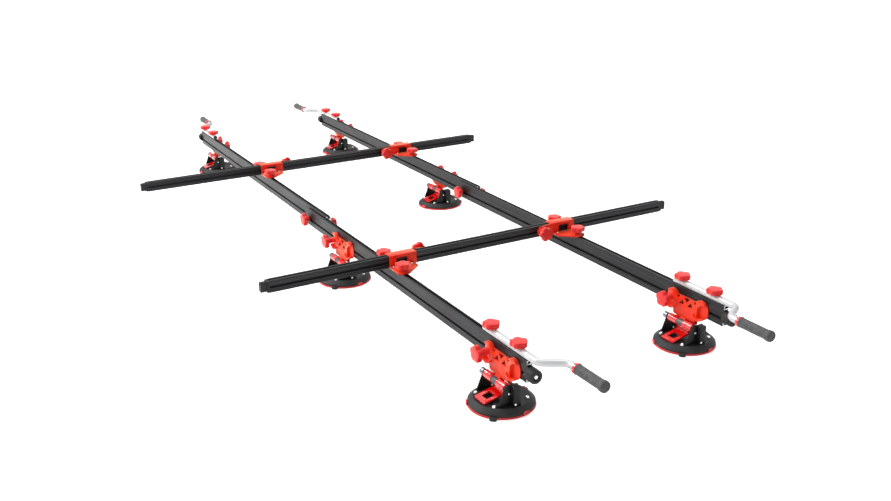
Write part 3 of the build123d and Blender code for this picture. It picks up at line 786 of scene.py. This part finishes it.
def handle_points(inward, away):
    """Tube centre line from its open end: along the rail, a jog inwards, on to the grip."""
    slope = atan2(TUBE_JOG, TUBE_JOG_RUN)
    back = TUBE_BEND_R * tan(slope / 2)
    first, second = TUBE_BEND, TUBE_BEND - TUBE_JOG_RUN
    points = [(0, TUBE_INNER), (0, 140), (0, 60)]
    points += [(TUBE_BEND_R - x, y) for x, y in arc(0, first + back, TUBE_BEND_R, 0, -degrees(slope), 10)]
    bend = arc(0, second - back, TUBE_BEND_R, 180 - degrees(slope), 180, 10)
    points += [(TUBE_JOG - TUBE_BEND_R - x, y) for x, y in bend]
    points += [(TUBE_JOG, -(GRIP_START + GRIP_LEN - 12))]
    return [Vector((inward * x, away * y, 0)) for x, y in points]


def pipe(points, radius, bore, steps=36):
    """Tube along flat points, bored from its first end."""
    bm = bmesh.new()
    rings = []
    up = Vector((0, 0, 1))
    for i, point in enumerate(points):
        ahead = (points[min(i + 1, len(points) - 1)] - points[max(i - 1, 0)]).normalized()
        side = ahead.cross(up)
        turns = [2 * pi * k / steps for k in range(steps)]
        rings.append([bm.verts.new(point + radius * (cos(t) * side + sin(t) * up)) for t in turns])
    start, ahead = points[0], (points[1] - points[0]).normalized()
    side = ahead.cross(up)
    for depth in (0, TUBE_BORE_LEN):
        ring = []
        for k in range(steps):
            t = 2 * pi * k / steps
            ring.append(bm.verts.new(start + ahead * depth + bore * (cos(t) * side + sin(t) * up)))
        rings.insert(0, ring)
    for low, high in zip(rings, rings[1:]):
        for k in range(steps):
            bm.faces.new((low[k - 1], low[k], high[k], high[k - 1]))
    bm.faces.new(rings[0])
    bm.faces.new(rings[-1])
    bmesh.ops.recalc_face_normals(bm, faces=bm.faces)
    return bm


def grip():
    """Rubber grip: ribbed sleeve, swollen end."""
    profile = [(TUBE_R, 0), (14.6, 0)]
    rib = 12
    while rib < GRIP_LEN - 30:
        profile += [(14.9, rib), (15.2, rib + 1.5), (15.2, rib + 3.5), (14.9, rib + 5)]
        rib += 7
    profile += [(15, GRIP_LEN - 22), (16.2, GRIP_LEN - 18), (17, GRIP_LEN - 13), (17, GRIP_LEN - 7),
                (16, GRIP_LEN - 3), (13.5, GRIP_LEN - 0.6), (11, GRIP_LEN), (0, GRIP_LEN), (0, GRIP_LEN - 10),
                (TUBE_R, GRIP_LEN - 10)]
    return lathe(profile, 56)


def collar():
    """Red lock ring at the grip's inner end."""
    bore = TUBE_R + 0.1
    return lathe([(bore, 0), (15.6, 0), (16.4, 0.8), (16.4, 9.2), (15.6, 10), (bore, 10)], 56)


def buffer():
    """Round rubber buffer with a screw sunk in its face."""
    return lathe([(0, 0), (BUFFER_R - 0.4, 0), (BUFFER_R, 0.6), (BUFFER_R, 31), (BUFFER_R - 1, 33.2),
                  (BUFFER_R - 3, BUFFER_LEN), (11, BUFFER_LEN), (10, BUFFER_SEAT), (0, BUFFER_SEAT)], 56)


grip_mesh = as_mesh("grip", grip(), GRIP_RUBBER)
collar_mesh = as_mesh("collar", collar(), RED_GLOSS)
buffer_mesh = as_mesh("buffer", buffer(), BLACK_PLASTIC)
buffer_screw = as_mesh("buffer_screw", cap_screw(6.2, 3.5), SCREW)
collar_screw = as_mesh("collar_screw", cap_screw(2.2, 1.6), SCREW)
handle_knob_mesh = as_mesh("handle_knob", knob(HANDLE_STEM), RED_KNOB)
splice_knob_mesh = as_mesh("splice_knob", knob(SPLICE_STEM), RED_KNOB)

for end, away in (("front", 1), ("rear", -1)):
    body = f"{end}_frame"
    tube_low, tube_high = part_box(f"handle_tubes_{end}")
    tube_z = (tube_low[2] + tube_high[2]) / 2
    for side, inward in (("left", 1), ("right", -1)):
        rail = f"rail_{side}_{end}"
        low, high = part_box(rail)
        rail_x = (low[0] + high[0]) / 2
        rail_y = low[1] if away > 0 else high[1]
        spot = Matrix.Translation((rail_x, rail_y, tube_z))
        line = handle_points(inward, away)
        tube = as_mesh(f"{end}_{side}_tube", pipe(line, TUBE_R, TUBE_BORE), BRIGHT_TUBE)
        piece(f"{end}_{side}_tube", tube, body, spot, [f"handle_tubes_{end}"])
        outward = turn(90 * away, "X")
        grip_spot = spot @ at(inward * TUBE_JOG, -away * GRIP_START, 0) @ outward
        piece(f"{end}_{side}_grip", grip_mesh, body, grip_spot, [f"handle_grips_{end}"])
        piece(f"{end}_{side}_collar", collar_mesh, body, grip_spot)
        piece(f"{end}_{side}_collar_screw", collar_screw, body,
              spot @ at(inward * TUBE_JOG, -away * (GRIP_START + 5), 16))
        for tag, y in zip("ab", HANDLE_KNOBS):
            piece(f"{end}_{side}_handle_knob_{tag}", handle_knob_mesh, body,
                  spot @ at(0, away * y, TUBE_R), [f"rail_knobs_{end}"])
        buffer_spot = Matrix.Translation((rail_x, rail_y, BUFFER_Z * MM)) @ outward
        piece(f"{end}_{side}_buffer", buffer_mesh, body, buffer_spot,
              [f"rail_buffers_{end}"])
        screw_spot = buffer_spot @ at(0, 0, BUFFER_SEAT - 0.1)
        piece(f"{end}_{side}_buffer_screw", buffer_screw, body, screw_spot)

# Splice knobs, each at this distance from the inner end of its rail
SPLICES = (("front", "left", -33), ("front", "right", -48), ("rear", "left", 29), ("rear", "right", 25))
for end, side, inset in SPLICES:
    low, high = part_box(f"rail_{side}_{end}")
    x, y, facing = (low[0], high[1], -1) if end == "front" else (high[0], low[1], 1)
    spot = Matrix.Translation((x, y + inset * MM, SIDE_Z * MM)) @ turn(90 * facing, "Y")
    piece(f"{end}_{side}_splice_knob", splice_knob_mesh, f"{end}_frame", spot,
          [f"rail_knobs_{end}"])


# Stage, light and camera

PHOTO_W = 891
SENSOR = 36.0
FOCAL_PX = 978.45
CAMERA_AT = (-1.6640, -3.6036, 1.3765)
CAMERA_YAW = radians(28.77)
CAMERA_PITCH = radians(20.16)
CAMERA_ROLL = radians(-0.954)
FLOOR_HALF = 40
FLOOR_GLOW = 0.55
BEHIND = (-0.5, 0.8, 0.3)


def add_camera():
    """Camera at the photograph's place, solved from the rails, crossbars and cups."""
    flat = cos(CAMERA_PITCH)
    forward = Vector((sin(CAMERA_YAW) * flat, cos(CAMERA_YAW) * flat, -sin(CAMERA_PITCH)))
    level = Vector((cos(CAMERA_YAW), -sin(CAMERA_YAW), 0))
    above = level.cross(forward)
    right = cos(CAMERA_ROLL) * level + sin(CAMERA_ROLL) * above
    up = -sin(CAMERA_ROLL) * level + cos(CAMERA_ROLL) * above
    data = bpy.data.cameras.new("camera")
    data.sensor_width = SENSOR
    data.lens = FOCAL_PX * SENSOR / PHOTO_W
    data.clip_end = 100
    camera = bpy.data.objects.new("camera", data)
    bpy.context.scene.collection.objects.link(camera)
    camera.matrix_world = Matrix((
        (right.x, up.x, -forward.x, CAMERA_AT[0]),
        (right.y, up.y, -forward.y, CAMERA_AT[1]),
        (right.z, up.z, -forward.z, CAMERA_AT[2]),
        (0, 0, 0, 1)))
    bpy.context.scene.camera = camera


def white_rays(tree):
    """One for rays from the camera or off a mirror or glass, nought for the light that falls on the part."""
    path = tree.nodes.new("ShaderNodeLightPath")
    seen = path.outputs["Is Camera Ray"]
    for kind in ("Is Glossy Ray", "Is Transmission Ray"):
        either = tree.nodes.new("ShaderNodeMath")
        either.operation = "MAXIMUM"
        tree.links.new(seen, either.inputs[0])
        tree.links.new(path.outputs[kind], either.inputs[1])
        seen = either.outputs["Value"]
    return seen


def add_floor():
    """Pale floor that reads as white to the camera and keeps the shadow."""
    bm = bmesh.new()
    bmesh.ops.create_grid(bm, x_segments=1, y_segments=1, size=FLOOR_HALF)
    mesh = bpy.data.meshes.new("floor")
    bm.to_mesh(mesh)
    bm.free()
    floor = bpy.data.objects.new("floor", mesh)
    bpy.context.scene.collection.objects.link(floor)
    floor.location.z = -0.0005
    mat = bpy.data.materials.new("floor")
    mat.use_nodes = True
    shader = mat.node_tree.nodes["Principled BSDF"]
    shader.inputs["Base Color"].default_value = (0.9, 0.9, 0.9, 1)
    shader.inputs["Roughness"].default_value = 0.9
    shader.inputs["Specular IOR Level"].default_value = 0.1
    shader.inputs["Emission Color"].default_value = (1, 1, 1, 1)
    glow = node(mat, "ShaderNodeMath", operation="MULTIPLY")
    glow.inputs[1].default_value = FLOOR_GLOW
    mat.node_tree.links.new(white_rays(mat.node_tree), glow.inputs[0])
    link(mat, glow, "Value", shader, "Emission Strength")
    mesh.materials.append(mat)


def add_lamp(name, spot, aim, size, power):
    """Soft lamp of this size in metres, aimed at a point."""
    data = bpy.data.lights.new(name, "AREA")
    data.shape = "RECTANGLE"
    data.size, data.size_y = size
    data.energy = power
    lamp = bpy.data.objects.new(name, data)
    bpy.context.scene.collection.objects.link(lamp)
    lamp.location = spot
    lamp.rotation_euler = (Vector(aim) - Vector(spot)).to_track_quat("-Z", "Y").to_euler()


def add_world():
    """White to the camera and in mirror images; its light is bright behind the part, dim in front."""
    world = bpy.data.worlds.new("studio")
    bpy.context.scene.world = world
    world.use_nodes = True
    tree = world.node_tree
    ground = tree.nodes["Background"]
    ground.inputs["Color"].default_value = (1, 1, 1, 1)
    place = tree.nodes.new("ShaderNodeTexCoord")
    facing = tree.nodes.new("ShaderNodeVectorMath")
    facing.operation = "DOT_PRODUCT"
    facing.inputs[1].default_value = BEHIND
    level = tree.nodes.new("ShaderNodeMapRange")
    level.inputs["From Min"].default_value = -0.3
    level.inputs["From Max"].default_value = 0.6
    level.inputs["To Min"].default_value = 0.12
    level.inputs["To Max"].default_value = 1.0
    seen = tree.nodes.new("ShaderNodeMath")
    seen.operation = "MAXIMUM"
    tree.links.new(place.outputs["Generated"], facing.inputs[0])
    tree.links.new(facing.outputs["Value"], level.inputs["Value"])
    tree.links.new(white_rays(tree), seen.inputs[0])
    tree.links.new(level.outputs["Result"], seen.inputs[1])
    tree.links.new(seen.outputs["Value"], ground.inputs["Strength"])


add_camera()
add_floor()
add_world()
add_lamp("key", (-4.5, 2.0, 4.0), (0, 0, 0.1), (2.0, 2.0), 150)
add_lamp("overhead", (0.5, 0.5, 6.0), (0, 0, 0), (5.0, 5.0), 150)
add_lamp("front", (-1.0, -6.0, 3.0), (0, 0, 0.1), (3.0, 3.0), 18)
# The strip stands where the lever barrels mirror it to the camera
add_lamp("strip", (-2.4, 3.4, 4.2), (0, -1.2, 0.1), (2.4, 1.0), 140)
bpy.context.scene.view_settings.view_transform = "Standard"
